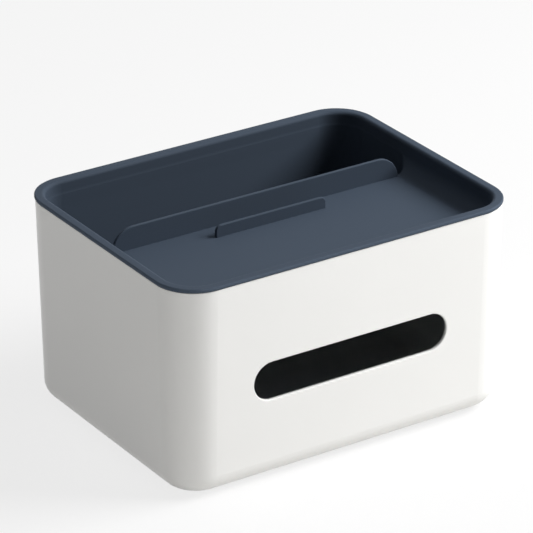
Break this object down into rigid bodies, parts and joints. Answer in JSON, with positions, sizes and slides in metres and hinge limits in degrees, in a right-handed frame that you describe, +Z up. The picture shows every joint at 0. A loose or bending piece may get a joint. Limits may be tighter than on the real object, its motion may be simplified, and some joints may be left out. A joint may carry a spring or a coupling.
{
  "type": "tissue box organizer",
  "caption": "Rounded desktop tissue box with a front dispensing slot and a lift-out tray: shallow front tray, phone rest, divider and deep rear compartment.",
  "frame": {"origin": "on the standing surface, under the middle of the box", "axes": "+X along the front to the right of someone facing the tissue slot, -Y out of the slot, +Z up"},
  "size_m": [0.226, 0.1714, 0.1295],
  "materials": {
    "shell_plastic": "satin white",
    "tray_plastic": "matt slate navy",
    "foot_rubber": "matt grey"
  },
  "bodies": {
    "box": {"body_shell": "shell_plastic", "foot_front_left": "foot_rubber", "foot_front_right": "foot_rubber", "foot_back_left": "foot_rubber", "foot_back_right": "foot_rubber"},
    "tray": {"organizer_tray": "tray_plastic"}
  },
  "joints": [
    {"name": "tray_lift", "type": "slide", "parent": "box", "child": "tray", "axis": [0, 0, 1], "range_m": [0, 0.1]}
  ]
}
